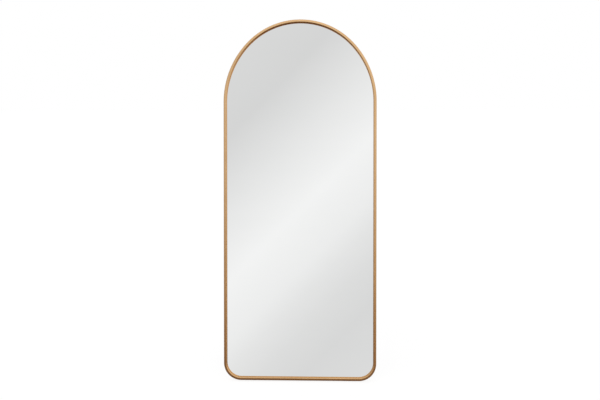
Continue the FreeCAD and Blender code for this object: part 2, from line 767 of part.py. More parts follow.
def axis_height():
    """Find how high the stand's axis is above the floor."""
    up = sheet.hinge_height * cosine(sheet.lean) - sheet.hinge_depth * sine(sheet.lean)
    return up + lift()


def lift():
    """Find how far the frame's front bottom edge is raised by the feet and the lean."""
    return sheet.foot_least + sheet.foot_rear * sine(sheet.lean)


TUBE_TOP = "(-lug_length - collar_thick)"
LIFT = "(foot_least + foot_rear*sin(lean))"
LEG_LENGTH = (
    f"((hinge_height*cos(lean) - hinge_depth*sin(lean) + {LIFT} - sleeve_radius)"
    "/cos(stand_opening - lean))"
)


def draw_stand_path(body):
    """Draw the middle line of the tube: a leg, a bend, the crossbar, a bend and a leg."""
    sketch = sketch_on(body, "XZ_Plane")
    half = sheet.width / 2 - sheet.leg_inset
    bend = sheet.bend_radius
    top = -sheet.lug_length - sheet.collar_thick
    bottom = -stand_length()
    sketch.addGeometry(
        [
            line((-half, top), (-half, bottom + bend)),
            arc(bend - half, bottom + bend, bend, 180, 270),
            line((bend - half, bottom), (half - bend, bottom)),
            arc(half - bend, bottom + bend, bend, 270, 360),
            line((half, bottom + bend), (half, top)),
        ],
        False,
    )
    for index in range(4):
        sketch.addConstraint(Sketcher.Constraint("Tangent", index, 2, index + 1, 1))
    sketch.addConstraint(Sketcher.Constraint("Vertical", 0))
    sketch.addConstraint(Sketcher.Constraint("Vertical", 4))
    sketch.addConstraint(Sketcher.Constraint("Horizontal", 2))
    pin_point(sketch, 0, 1, Vector(-half, top, 0), f"-{LEG_SIDE}", TUBE_TOP)
    pin_point(sketch, 4, 2, Vector(half, top, 0), LEG_SIDE, TUBE_TOP)
    dimension(sketch, "DistanceY", (-1, 1, 2, 1, bottom), f"-{LEG_LENGTH}")
    for index in (1, 3):
        dimension(sketch, "Radius", (index, bend), "bend_radius")
    return sketch


def make_stand_tube(spot):
    body = new_body("stand_tube")
    path = draw_stand_path(body)
    section = sketch_on(body, "XY_Plane", TUBE_TOP)
    circle(section, "stand_radius", f"-{LEG_SIDE}")
    circle(section, "stand_radius - stand_wall", f"-{LEG_SIDE}")
    tube = body.newObject("PartDesign::AdditivePipe", "stand_tube_pipe")
    tube.Profile = section
    tube.Spine = path
    add_piece("stand_tube", body, spot)


def make_lugs(spot):
    """Forge the lugs: an eye with a stop heel above, and a collar and spigot below."""
    side = (f"{LEG_SIDE} - lug_thick/2", f"{LEG_SIDE} + lug_thick/2")
    eye = rod("lug_eye", "lug_radius", "x", *side, ("0", "0"))
    shank = block("lug_shank", side, ("-lug_radius", "lug_radius"), ("-lug_length", "0"))
    leg = (LEG_SIDE, "0")
    collar = rod("lug_collar", "stand_radius", "z", TUBE_TOP, "-lug_length", leg)
    spigot_radius = "stand_radius - stand_wall - fit_play"
    spigot = rod("lug_spigot", spigot_radius, "z", f"{TUBE_TOP} - spigot_length", "-lug_length", leg)
    heel_face = f"{PLATE_BACK} + stop_play - hinge_depth"
    heel = block("lug_heel", side, (heel_face, "0"), ("heel_start", "heel_height"))
    square = group("lug_heel_turned", heel)
    square.Placement = Placement(Vector(), Rotation(Vector(1, 0, 0), -sheet.stand_opening))
    bore = rod("lug_bore", "pin_radius + pin_play", "x", "0", "width", ("0", "0"))
    add_pair("stand_lug", cut("lug_bored", fuse("lug_solid", eye, shank, collar, spigot, square), bore), spot)


def make_sleeves(spot):
    inner = "(stand_radius + fit_play)"
    sleeve = turned(
        "sleeve_turned",
        (
            (inner, "-sleeve_length/2"),
            ("sleeve_radius - sleeve_edge", "-sleeve_length/2"),
            ("sleeve_radius", "-sleeve_length/2 + sleeve_edge"),
            ("sleeve_radius", "sleeve_length/2 - sleeve_edge"),
            ("sleeve_radius - sleeve_edge", "sleeve_length/2"),
            (inner, "sleeve_length/2"),
        ),
    )
    for name, sign in (("right", 1), ("left", -1)):
        side = sheet.width / 2 - sheet.sleeve_inset
        centre = Vector(sign * side, 0, -stand_length())
        turned_sleeve = scatter(f"stand_sleeve_{name}", sleeve, [Placement(centre, TURNS["x"])])
        add_piece(f"stand_sleeve_{name}", turned_sleeve, spot)


def make_stand():
    axis = Vector(0, sheet.hinge_depth, sheet.hinge_height)
    spot = Placement(axis, Rotation(Vector(1, 0, 0), sheet.stand_opening))
    make_stand_tube(spot)
    make_lugs(spot)
    make_sleeves(spot)


# The hangers: a riveted strap curled round the bar of a D-shaped wire ring. The ring is
# drawn with its bar along X through the origin, and it hangs straight down.


def make_straps():
    curl_radius = "ring_wire + pin_play + strap_thick"
    side = (f"{HANGER_SIDE} - strap_width/2", f"{HANGER_SIDE} + strap_width/2")
    deep = (WEB_BACK, f"{WEB_BACK} + strap_thick")
    tongue = block("strap_tongue", side, deep, (RING_HEIGHT, f"{RING_HEIGHT} + strap_length"))
    curl = rod("strap_curl", curl_radius, "x", *side, (RING_DEPTH, RING_HEIGHT))
    bore = rod("strap_bore", "ring_wire + pin_play", "x", "0", "width/2", (RING_DEPTH, RING_HEIGHT))
    holes = drill("strap", hanger_rivet_spots(), "rivet_radius")
    add_pair("hanger_strap", cut("strap_bored", fuse("strap_solid", tongue, curl), bore, holes))
    rivet = rivet_through("hanger_rivet", "strap_thick")
    add_piece("hanger_rivets", scatter("hanger_rivets", rivet, hanger_rivet_spots()))


def draw_ring_path(body):
    """Draw the ring's middle line, from one wire end in the bar round to the other."""
    sketch = sketch_on(body, "XZ_Plane")
    half = sheet.ring_width / 2
    side = sheet.ring_side + sheet.ring_corner
    corner = sheet.ring_corner
    end = sheet.ring_gap / 2
    sketch.addGeometry(
        [
            line((-end, 0), (corner - half, 0)),
            arc(corner - half, -corner, corner, 90, 180),
            line((-half, -corner), (-half, -side)),
            arc(0, -side, half, 180, 360),
            line((half, -side), (half, -corner)),
            arc(half - corner, -corner, corner, 0, 90),
            line((half - corner, 0), (end, 0)),
        ],
        False,
    )
    joints = ((0, 2, 1, 1), (1, 2, 2, 1), (2, 2, 3, 1), (3, 2, 4, 1), (4, 2, 5, 1), (5, 2, 6, 1))
    for joint in joints:
        sketch.addConstraint(Sketcher.Constraint("Tangent", *joint))
    return sketch


def make_rings():
    body = new_body("ring_bent")
    path = draw_ring_path(body)
    section = sketch_on(body, "YZ_Plane", "-ring_gap/2")
    circle(section, "ring_wire")
    wire = body.newObject("PartDesign::AdditivePipe", "ring_pipe")
    wire.Profile = section
    wire.Spine = path
    depth = sheet.frame_depth + sheet.brace_metal + sheet.strap_thick + sheet.pin_play + sheet.ring_wire
    height = high_brace_height() - sheet.brace_width / 2 - sheet.strap_drop
    side = sheet.width / 2 - sheet.hanger_inset
    hang = Rotation(Vector(1, 0, 0), sheet.lean)
    for name, sign in (("right", 1), ("left", -1)):
        spot = Placement(Vector(sign * side, depth, height), hang)
        add_piece(f"hanger_ring_{name}", scatter(f"hanger_ring_{name}", body, [Placement()]), spot)


# The floor feet: soft wedges under the bottom rail that fill the lean's angle.


def make_feet():
    def underside(depth):
        return f"({depth}*sin(lean) - {LIFT})/cos(lean)"

    body = new_body("foot_moulded")
    corners = (
        ("foot_front", "0"),
        ("foot_front", underside("foot_front")),
        ("foot_rear", underside("foot_rear")),
        ("foot_rear", "0"),
    )
    middle = "(width/2 - foot_inset)"
    pad(body, "YZ_Plane", f"{middle} - foot_length/2", f"{middle} + foot_length/2", corners)
    add_pair("floor_foot", body)


def floor_placement():
    """Lean the mirror back on its feet, with the origin under the middle of its footprint."""
    lean = sheet.lean
    rounding = sheet.front_radius
    front = rounding * (cosine(lean) + sine(lean) - 1)
    axis = sheet.hinge_depth * cosine(lean) + sheet.hinge_height * sine(lean)
    back = axis + stand_length() * sine(sheet.stand_opening - lean) + sheet.sleeve_radius
    return Placement(Vector(0, -(front + back) / 2, lift()), Rotation(Vector(1, 0, 0), -lean))


def stand_pieces_up():
    floor = floor_placement()
    for feature, spot in PIECES.values():
        feature.Placement = floor.multiply(spot)
    doc.recompute()


def check_document():
    """Stop if a feature failed or a piece has no sound solid."""
    for feature in doc.Objects:
        if "Invalid" in feature.State or "Error" in feature.State:
            raise RuntimeError(f"{feature.Name} failed: {feature.State}")
    for name, (feature, spot) in PIECES.items():
        shape = feature.Shape
        if shape.isNull() or not shape.isValid() or not shape.Solids:
            raise RuntimeError(f"{name} has no sound solid")


def write_pieces():
    os.makedirs("parts", exist_ok=True)
    for name, (feature, spot) in PIECES.items():
        feature.Shape.exportStep(f"parts/{name}.step")


outline = draw_outline()
make_frame()
make_glazing()
make_braces()
make_clips()
make_brackets()
make_pins()
make_stand()
make_straps()
make_rings()
make_feet()
doc.recompute()
stand_pieces_up()
check_document()
write_pieces()
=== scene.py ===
import math

import bmesh
import bpy
import numpy as np
from mathutils import Matrix, Vector
from mathutils.geometry import tessellate_polygon


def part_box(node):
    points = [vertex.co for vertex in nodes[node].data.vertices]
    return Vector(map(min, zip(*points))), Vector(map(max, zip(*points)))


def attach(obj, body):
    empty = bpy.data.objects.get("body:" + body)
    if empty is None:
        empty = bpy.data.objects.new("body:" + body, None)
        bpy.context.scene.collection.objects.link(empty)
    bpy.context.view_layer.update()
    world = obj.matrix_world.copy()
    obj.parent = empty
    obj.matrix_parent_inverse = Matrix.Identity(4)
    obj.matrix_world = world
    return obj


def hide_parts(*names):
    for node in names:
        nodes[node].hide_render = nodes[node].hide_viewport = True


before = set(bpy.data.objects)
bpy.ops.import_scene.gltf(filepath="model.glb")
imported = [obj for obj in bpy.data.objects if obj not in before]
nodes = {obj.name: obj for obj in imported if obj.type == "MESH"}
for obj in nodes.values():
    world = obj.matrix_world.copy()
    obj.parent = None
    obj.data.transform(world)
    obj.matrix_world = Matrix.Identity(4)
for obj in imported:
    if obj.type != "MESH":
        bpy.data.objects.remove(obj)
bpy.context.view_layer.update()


# How the mirror stands. It leans back 8 degrees on two wedge feet, with its front bottom
# edge 6 mm off the floor. Every piece on it is laid out flat first: x across, depth behind
# the front face, rise up from the bottom edge.

lean = math.radians(8)
up_mirror = np.array([0.0, math.sin(lean), math.cos(lean)])
into_mirror = np.array([0.0, math.cos(lean), -math.sin(lean)])
across = np.array([1.0, 0.0, 0.0])
bottom_edge = np.array([0.0, -0.169014, 0.006093])


def leaned(x, depth, rise):
    """Place a point of the flat mirror: the bottom edge, plus x across, plus depth into the
    mirror, plus rise up the mirror."""
    return bottom_edge + x * across + depth * into_mirror + rise * up_mirror


# The frame. One aluminium extrusion, bronze anodised, with a round-edged front tube, a rear
# leg with a screw groove, and a rebate for the glass. It is bent round the outline in two
# lengths, an arched hoop and a base with two round corners, which butt 423 mm up.


def straight(start, end, inward, step=0.02):
    """Run along a line: the start and the end mixed in even steps, each point with the same
    direction towards the inside of the outline."""
    count = max(2, round(math.dist(start, end) / step) + 1)
    share = np.linspace(0, 1, count)[:, None]
    points = (1 - share) * np.array(start) + share * np.array(end)
    return np.hstack([points, np.tile(inward, (count, 1))])


def bend(centre, radius, first, last, step=1.5):
    """Run round an arc: the centre plus the radius in each direction from the first angle to
    the last, in degrees. The inside is the opposite of that direction."""
    angles = np.radians(np.linspace(first, last, round(abs(last - first) / step) + 1))
    outwards = np.stack([np.cos(angles), np.sin(angles)], 1)
    return np.hstack([np.array(centre) + radius * outwards, -outwards])


def joined(runs):
    """Put runs end to end, without the point that each shares with the next."""
    return np.vstack([run[:-1] for run in runs[:-1]] + [runs[-1]])


def rounded(corners, radii, steps=6, closed=True):
    """Round the corners of a section. Each arc's centre is on the corner's bisector, at the
    radius over the sine of half the angle, and its points are the centre plus the radius
    turned evenly from one side's normal to the next. Returns points and outward normals for
    corners that run counterclockwise. An open section keeps its two end points, with the
    normals of its end sides."""
    corners = np.array(corners, float)
    radii = np.broadcast_to(np.array(radii, float), (len(corners),))
    to_last = np.roll(corners, 1, 0) - corners
    to_next = np.roll(corners, -1, 0) - corners
    to_last /= np.linalg.norm(to_last, axis=1, keepdims=True)
    to_next /= np.linalg.norm(to_next, axis=1, keepdims=True)
    half_angle = np.arccos(np.clip((to_last * to_next).sum(1), -1, 1)) / 2
    bisector = to_last + to_next
    bisector /= np.linalg.norm(bisector, axis=1, keepdims=True)
    centres = corners + bisector * (radii / np.sin(half_angle))[:, None]
    touch = (radii / np.tan(half_angle))[:, None]
    first = corners + to_last * touch - centres
    last = corners + to_next * touch - centres
    first /= np.linalg.norm(first, axis=1, keepdims=True)
    last /= np.linalg.norm(last, axis=1, keepdims=True)
    sweep = (np.pi - 2 * half_angle)[:, None, None]
    share = np.linspace(0, 1, steps + 1)[None, :, None]
    spokes = np.sin((1 - share) * sweep) * first[:, None] + np.sin(share * sweep) * last[:, None]
    spokes /= np.sin(sweep)
    points = centres[:, None] + radii[:, None, None] * spokes
    convex = to_next[:, 0] * to_last[:, 1] - to_next[:, 1] * to_last[:, 0] > 0
    normals = np.where(convex, 1, -1)[:, None, None] * spokes
    if closed:
        return points.reshape(-1, 2), normals.reshape(-1, 2)
    points = np.vstack([corners[:1], points[1:-1].reshape(-1, 2), corners[-1:]])
    normals = np.vstack([normals[1, :1], normals[1:-1].reshape(-1, 2), normals[-2, -1:]])
    return points, normals


def facing_out(points, faces, normals, chart):
    """Turn round each face whose own direction, the cross product of its diagonals, is against
    the normals at its corners."""
    spots = points[faces]
    own = np.cross(spots[:, 2] - spots[:, 0], spots[:, 3] - spots[:, 1])
    against = (own * normals.sum(1)).sum(1) < 0
    for corners in (faces, normals, chart):
        corners[against] = corners[against, ::-1]
    return points, faces, normals, chart


def skin(points, normals, lengthways, crossways):
    """Join a grid of points into four-sided faces from row to row, the last column joined to
    the first. The chart is the measured length along the rows and round the columns."""
    rows, columns = points.shape[:2]
    row, column = np.meshgrid(np.arange(rows - 1), np.arange(columns), indexing="ij")
    of_row = np.stack([row, row + 1, row + 1, row], -1).reshape(-1, 4)
    of_column = np.stack([column, column, column + 1, column + 1], -1).reshape(-1, 4)
    faces = of_row * columns + of_column % columns
    chart = np.stack([lengthways[of_row], crossways[of_column]], -1)
    return facing_out(points.reshape(-1, 3), faces, normals.reshape(-1, 3)[faces], chart)


def lid(points, loops, normal):
    """Fill the flat end of a section, with its holes left open, by triangles."""
    flat = np.concatenate(loops)
    fans = tessellate_polygon([[Vector((a, b, 0)) for a, b in loop] for loop in loops])
    faces = np.array(fans)[:, [0, 1, 2, 2]]
    normals = np.broadcast_to(normal, (len(faces), 4, 3)).copy()
    return facing_out(points, faces, normals, flat[faces])


def measured(points, closed=False):
    """Add up the distances from point to point, and back to the first if closed."""
    if closed:
        points = np.vstack([points, points[:1]])
    return np.concatenate([[0], np.cumsum(np.linalg.norm(np.diff(points, axis=0), axis=1))])


def build(name, skins):
    """Make one mesh of several skins. Points that fall together are welded, a corner repeated
    in a face is dropped, and each corner keeps its own normal and chart place."""
    all_points, all_faces, all_normals, all_charts = zip(*skins)
    starts = np.cumsum([0] + [len(points) for points in all_points[:-1]])
    points = np.concatenate(all_points)
    faces = np.concatenate([faces + start for faces, start in zip(all_faces, starts)])
    normals = np.concatenate(all_normals)
    chart = np.concatenate(all_charts)
    places = np.round(points, 7)
    kept, welded = np.unique(places, axis=0, return_index=True, return_inverse=True)[1:]
    faces = welded.reshape(-1)[faces]
    used = faces != np.roll(faces, 1, axis=1)
    whole = used.sum(1) > 2
    faces, normals, chart, used = faces[whole], normals[whole], chart[whole], used[whole]
    rings = np.split(faces[used], np.cumsum(used.sum(1))[:-1])
    mesh = bpy.data.meshes.new(name)
    mesh.from_pydata(points[kept].tolist(), [], [ring.tolist() for ring in rings])
    mesh.shade_smooth()
    mesh.normals_split_custom_set(normals[used].tolist())
    mesh.uv_layers.new(name="Lengthways").data.foreach_set("uv", chart[used].ravel())
    piece = bpy.data.objects.new(name, mesh)
    bpy.context.scene.collection.objects.link(piece)
    return piece


def swept(path, place, side, sections, hairline=0.0):
    """Carry a section along a path. Each point is the path's point, plus the section's first
    measure towards the inside and its second along the side direction. The first and last
    rows are drawn in by the hairline, so that two lengths meet in a fine line. The first
    section is the outside and any other is a hollow."""
    middle = place(path[:, 0], path[:, 1])
    inward = place(path[:, 0] + path[:, 2], path[:, 1] + path[:, 3]) - middle
    lengthways = measured(middle)
    drawn_in = np.zeros(len(path))
    drawn_in[[0, -1]] = hairline
    skins = []
    ends = ([], [])
    for points, normals in sections:
        directions = normals[None, :, :1] * inward[:, None] + normals[None, :, 1:] * side
        grid = middle[:, None] + points[None, :, :1] * inward[:, None] + points[None, :, 1:] * side
        grid -= drawn_in[:, None, None] * directions
        skins.append(skin(grid, directions, lengthways, measured(points, closed=True)))
        ends[0].append(grid[0])
        ends[1].append(grid[-1])
    flat = [points for points, normals in sections]
    for end, beyond in ((ends[0], middle[0] - middle[1]), (ends[1], middle[-1] - middle[-2])):
        skins.append(lid(np.concatenate(end), flat, beyond / np.linalg.norm(beyond)))
    return skins


half_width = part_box("frame_base")[1].x
frame_height = 1.8
corner_radius = 0.087
arch_shift = 0.0444
side_arc = half_width + arch_shift
crown_arc = side_arc - arch_shift * math.sqrt(2)
springing = frame_height - arch_shift - crown_arc
splice = 0.423
splice_chamfer = 0.00025

face_width = 0.0145
tube_depth = 0.014
leg_width = 0.007
frame_depth = 0.035
groove_floor = 0.021
groove_near, groove_far = 0.0018, 0.0052
extrusion_corners = [
    (0, 0), (face_width, 0), (face_width, tube_depth), (leg_width, tube_depth),
    (leg_width, frame_depth), (groove_far, frame_depth), (groove_far, groove_floor),
    (groove_near, groove_floor), (groove_near, frame_depth), (0, frame_depth),
]
extrusion_roundings = [
    0.004, 0.004, 0.0004, 0.0003, 0.0004, 0.0003, 0.0004, 0.0004, 0.0003, 0.0004,
]
extrusion = rounded(extrusion_corners, extrusion_roundings)
hollow_corners = [(0.0016, 0.0024), (0.0129, 0.0024), (0.0129, 0.0124), (0.0016, 0.0124)]
hollow, hollow_normals = rounded(hollow_corners, 0.0005)
tube_hollow = (hollow, -hollow_normals)

left, right = (1, 0), (-1, 0)
hoop_outline = joined([
    straight((half_width, splice), (half_width, splice + splice_chamfer), right),
    straight((half_width, splice + splice_chamfer), (half_width, springing), right),
    bend((-arch_shift, springing), side_arc, 0, 45),
    bend((0, springing + arch_shift), crown_arc, 45, 135),
    bend((arch_shift, springing), side_arc, 135, 180),
    straight((-half_width, springing), (-half_width, splice + splice_chamfer), left),
    straight((-half_width, splice + splice_chamfer), (-half_width, splice), left),
])
base_outline = joined([
    straight((-half_width, splice), (-half_width, splice - splice_chamfer), left),
    straight((-half_width, splice - splice_chamfer), (-half_width, corner_radius), left),
    bend((corner_radius - half_width, corner_radius), corner_radius, 180, 270, step=3),
    straight((corner_radius - half_width, 0), (half_width - corner_radius, 0), (0, 1)),
    bend((half_width - corner_radius, corner_radius), corner_radius, 270, 360, step=3),
    straight((half_width, corner_radius), (half_width, splice - splice_chamfer), right),
    straight((half_width, splice - splice_chamfer), (half_width, splice), right),
])


def on_face(x, rise):
    """Place points of the outline on the plane of the front face."""
    return leaned(x[:, None], 0, rise[:, None])


def new_finish(name, **sockets):
    """Start a material with one surface shader, its sockets set to plain values."""
    finish = bpy.data.materials.new(name)
    finish.use_nodes = True
    shader = finish.node_tree.nodes["Principled BSDF"]
    for socket, value in sockets.items():
        shader.inputs[socket.replace("_", " ")].default_value = value
    return finish, finish.node_tree, shader


def add(tree, kind, inputs=(), **settings):
    """Add a node, set it, and give its inputs a value or a link."""
    node = tree.nodes.new(kind)
    for setting, value in settings.items():
        setattr(node, setting, value)
    for socket, value in dict(inputs).items():
        if isinstance(value, bpy.types.NodeSocket):
            tree.links.new(value, node.inputs[socket])
        else:
            node.inputs[socket].default_value = value
    return node


def grain(tree, scale, detail, roughness=0.55, chart=None):
    """Noise whose scale is in waves a metre along each axis, read in the object's own space,
    or on its chart, where the first axis runs lengthways."""
    if chart:
        source = add(tree, "ShaderNodeUVMap", uv_map=chart).outputs["UV"]
    else:
        source = add(tree, "ShaderNodeTexCoord").outputs["Object"]
    spread = add(tree, "ShaderNodeMapping", {"Vector": source, "Scale": scale}).outputs["Vector"]
    inputs = {"Vector": spread, "Scale": 1.0, "Detail": detail, "Roughness": roughness}
    return add(tree, "ShaderNodeTexNoise", inputs).outputs["Fac"]


def rescaled(tree, value, span, onto=(0.0, 1.0)):
    """Carry a value from one span on to another in a straight line, held at both ends."""
    inputs = {"Value": value, "From Min": span[0], "From Max": span[1]}
    inputs.update({"To Min": onto[0], "To Max": onto[1]})
    return add(tree, "ShaderNodeMapRange", inputs).outputs["Result"]


def between(tree, noise, low, high):
    """Spread noise, which seldom leaves the middle of its range, over low to high."""
    return rescaled(tree, noise, (0.3, 0.7), (low, high))


def blended(tree, share, first, second, **settings):
    """Mix two colours by a share, evenly unless the settings name another blend. Inputs 6 and
    7 and output 2 are the node's sockets for colours."""
    inputs = {0: share, 6: first, 7: second}
    return add(tree, "ShaderNodeMix", inputs, data_type="RGBA", **settings).outputs[2]


def mixed(tree, noise, first, second):
    """Mix two colours by noise."""
    return blended(tree, between(tree, noise, 0.0, 1.0), (*first, 1), (*second, 1))


def tinted(tree, shader, noise, first, second):
    """Vary the colour by noise, from the first to the second."""
    tree.links.new(mixed(tree, noise, first, second), shader.inputs["Base Color"])


def dulled(tree, shader, noise, low, high):
    """Vary the roughness by noise, from low to high."""
    tree.links.new(between(tree, noise, low, high), shader.inputs["Roughness"])


def pressed_in(tree, shader, height, depth, strength):
    """Give the surface fine relief: the height times the depth in metres times the strength."""
    inputs = {"Height": height, "Distance": depth, "Strength": strength}
    bump = add(tree, "ShaderNodeBump", inputs)
    tree.links.new(bump.outputs["Normal"], shader.inputs["Normal"])


edge_tint = (0.72, 0.5, 0.34, 1)
bronze, tree, shader = new_finish("bronze_anodised", Metallic=1.0, Specular_Tint=edge_tint)
drawn_grain = grain(tree, (5, 1400, 1), detail=4.0, chart="Lengthways")
slow_tone = grain(tree, (7, 7, 7), detail=2.0)
tone = mixed(tree, slow_tone, (0.68, 0.425, 0.215), (0.73, 0.465, 0.24))
streak = mixed(tree, drawn_grain, (0.94, 0.94, 0.94), (1.0, 1.0, 1.0))
anodised = blended(tree, 1.0, tone, streak, blend_type="MULTIPLY")
tree.links.new(anodised, shader.inputs["Base Color"])
dulled(tree, shader, drawn_grain, 0.20, 0.28)
pressed_in(tree, shader, drawn_grain, 0.00001, 0.15)

for name, outline in (("frame_hoop", hoop_outline), ("frame_base", base_outline)):
    skins = swept(outline, on_face, into_mirror, [extrusion, tube_hollow], hairline=0.0002)
    length = build(f"{name}_extrusion", skins)
    length.data.materials.append(bronze)
    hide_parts(name)
    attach(length, "mirror")


# The splice. Two aluminium keys fill the front tube across the joint, and eight countersunk
# screws from the rebate hold them, under the gasket.


def coat(finish, *names):
    """Give solids that are shown as they are their finish."""
    for name in names:
        nodes[name].material_slots[0].material = finish


aluminium, tree, shader = new_finish("mill_aluminium", Metallic=1.0)
drawn = grain(tree, (500, 500, 6), detail=4.0)
tinted(tree, shader, drawn, (0.72, 0.73, 0.74), (0.83, 0.83, 0.84))
dulled(tree, shader, drawn, 0.26, 0.42)
coat(aluminium, "splice_key_right", "splice_key_left")

zinc, tree, shader = new_finish("zinc_plated_steel", Metallic=1.0)
clouds = grain(tree, (38, 38, 38), detail=5.0, roughness=0.62)
rolled = grain(tree, (9, 700, 700), detail=3.0)
tinted(tree, shader, clouds, (0.60, 0.62, 0.65), (0.68, 0.68, 0.67))
dulled(tree, shader, clouds, 0.30, 0.42)
pressed_in(tree, shader, rolled, 0.00002, 0.3)
coat(zinc, "splice_screws")


# The glazing stack. A soft gasket, 4 mm mirror glass, a film that holds the pieces if the
# glass breaks, corrugated card and a black-faced board lie on the rebate, in that order.
# Rubber blocks carry the glass and keep it central.

rubber, tree, shader = new_finish("black_rubber", Specular_IOR_Level=0.35)
skin_grain = grain(tree, (900, 900, 900), detail=4.0)
worn = grain(tree, (55, 55, 55), detail=3.0)
tinted(tree, shader, worn, (0.018, 0.018, 0.019), (0.034, 0.033, 0.033))
dulled(tree, shader, worn, 0.62, 0.8)
pressed_in(tree, shader, skin_grain, 0.00004, 0.5)
coat(rubber, "glazing_gasket", "setting_blocks", "edge_spacers")

silvered, tree, shader = new_finish("silvered_glass", Metallic=1.0, Roughness=0.0)
wiped = grain(tree, (3, 9, 9), detail=5.0, roughness=0.6)
tinted(tree, shader, wiped, (0.935, 0.942, 0.938), (0.945, 0.95, 0.947))
coat(silvered, "mirror_glass")

film, tree, shader = new_finish("safety_film", Roughness=0.3)
weave = grain(tree, (260, 260, 260), detail=2.0)
tinted(tree, shader, weave, (0.50, 0.57, 0.64), (0.60, 0.66, 0.71))
pressed_in(tree, shader, weave, 0.00005, 0.4)
coat(film, "safety_film")

card, tree, shader = new_finish("corrugated_card", Specular_IOR_Level=0.2)
fibres = grain(tree, (700, 60, 60), detail=5.0, roughness=0.65)
tinted(tree, shader, fibres, (0.33, 0.215, 0.12), (0.43, 0.29, 0.17))
dulled(tree, shader, fibres, 0.8, 0.95)
flutes = add(tree, "ShaderNodeTexWave", {
    "Vector": add(tree, "ShaderNodeTexCoord").outputs["Object"],
    "Scale": 24.0,
    "Distortion": 0.0,
})
pressed_in(tree, shader, flutes.outputs["Fac"], 0.0003, 0.5)
coat(card, "cardboard_sheet")

board, tree, shader = new_finish("black_faced_board", Specular_IOR_Level=0.3)
pulp = grain(tree, (160, 160, 160), detail=6.0, roughness=0.7)
scuffs = grain(tree, (6, 14, 14), detail=6.0, roughness=0.68)
tinted(tree, shader, scuffs, (0.026, 0.025, 0.024), (0.044, 0.042, 0.039))
dulled(tree, shader, scuffs, 0.62, 0.8)
pressed_in(tree, shader, pulp, 0.00008, 0.6)
coat(board, "backing_board")


# The screws into the rear groove. Zinc-plated steel, each with a pan head, a cross recess
# and a coarse thread. Nine hold the clips and twelve the braces.


def turned(profile, centre, axis, first, columns=32, relief=None):
    """Turn a profile of radius and height round an axis. Each point is the centre, plus its
    height along the axis, plus its radius in the direction of the angle. The relief changes
    the radius and height at each angle; a surface direction is then the cross product of the
    steps down the profile and round it, on the side of the profile's own normal."""
    points, normals = profile
    second = np.cross(axis, first)
    angles = np.linspace(0, 2 * np.pi, columns, endpoint=False)
    outwards = np.cos(angles)[:, None] * first + np.sin(angles)[:, None] * second
    radius = np.repeat(points[:, :1], columns, 1)
    height = np.repeat(points[:, 1:], columns, 1)
    directions = normals[:, None, :1] * outwards[None] + normals[:, None, 1:] * axis
    if relief:
        radius, height = relief(radius, height, angles[None])
    grid = centre + radius[..., None] * outwards[None] + height[..., None] * axis
    if relief:
        steps_round = np.roll(grid, -1, 1) - np.roll(grid, 1, 1)
        steep = np.cross(np.gradient(grid, axis=0), steps_round)
        steep *= np.sign((steep * directions).sum(2, keepdims=True))
        size = np.linalg.norm(steep, axis=2, keepdims=True)
        nothing = 1e-12
        directions = np.where(size > nothing, steep / np.maximum(size, nothing), directions)
    round_it = 2 * np.pi * points[:, 0].max() * np.arange(columns + 1) / columns
    return skin(grid, directions, measured(points), round_it)


def heads(node, count, hair=0.00002):
    """Find the middle of each fastener's outer face: the points of each of the like solids
    that lie farthest along the way into the mirror, give or take a hair, averaged."""
    mesh = nodes[node].data
    places = np.empty(3 * len(mesh.vertices), np.float32)
    mesh.vertices.foreach_get("co", places)
    found = []
    for solid in places.reshape(count, -1, 3):
        depth = solid @ into_mirror
        found.append(solid[depth > depth.max() - hair].mean(0))
    return found


def filled_in(profile, longest):
    """Divide the long straight runs of a profile into even steps, none over the longest, with
    the normals mixed in the same shares."""
    points, normals = profile
    pieces = []
    for index in range(len(points) - 1):
        count = max(1, math.ceil(math.dist(points[index], points[index + 1]) / longest))
        share = np.arange(count)[:, None] / count
        ends = np.hstack([points[index:index + 2], normals[index:index + 2]])
        pieces.append((1 - share) * ends[0] + share * ends[1])
    mixed_in = np.vstack(pieces + [np.hstack([points[-1:], normals[-1:]])])
    return mixed_in[:, :2], mixed_in[:, 2:]


screw_head = 0.0032
screw_rise = 0.0022
screw_rim = 0.0007
crown_radius = 0.0018
crown_drop = 0.0001
screw_shank = 0.0015
screw_length = 0.012
screw_point = 0.0015
thread_pitch = 0.0011
thread_depth = 0.0003
thread_start = 0.0003
cross_arm = 0.00038
cross_reach = 0.0019
cross_depth = 0.0011
screw_corners = [
    (0, -screw_rise - screw_length), (screw_shank, -screw_rise - screw_length + screw_point),
    (screw_shank, -screw_rise), (screw_head, -screw_rise), (screw_head, -screw_rim),
    (crown_radius, -crown_drop), (0, 0),
]
screw_roundings = [0.0001, 0.0003, 0.0002, 0.0002, 0.0005, 0.002, 0.0001]
screw_side = rounded(screw_corners, screw_roundings, steps=3, closed=False)
screw_profile = filled_in(screw_side, longest=0.00027)


def cross_and_thread(radius, height, angle):
    """Sink a cross into the head and cut a thread. The cross is deepest at the middle and dies
    out at its arms' ends and sides. The thread is a triangle wave of height and angle, and
    leaves the point, and the neck under the head, plain."""
    along = radius * np.cos(angle)
    beside = radius * np.sin(angle)
    arm = np.exp(-((along / cross_arm) ** 4)) + np.exp(-((beside / cross_arm) ** 4))
    reach = np.exp(-((radius / cross_reach) ** 6))
    on_head = height > -screw_rim
    turn = (height / thread_pitch + angle / (2 * np.pi)) % 1
    on_shank = (height < -screw_rise - thread_start) & (radius > screw_shank * 0.9)
    height = height - np.where(on_head, cross_depth * np.minimum(arm, 1) * reach, 0)
    radius = radius - np.where(on_shank, thread_depth * np.abs(2 * turn - 1), 0)
    return radius, height


def fitted(piece, finish, node, body="mirror"):
    """Give a new piece its finish, let it stand for its solid, and fix it to its body."""
    piece.data.materials.append(finish)
    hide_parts(node)
    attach(piece, body)


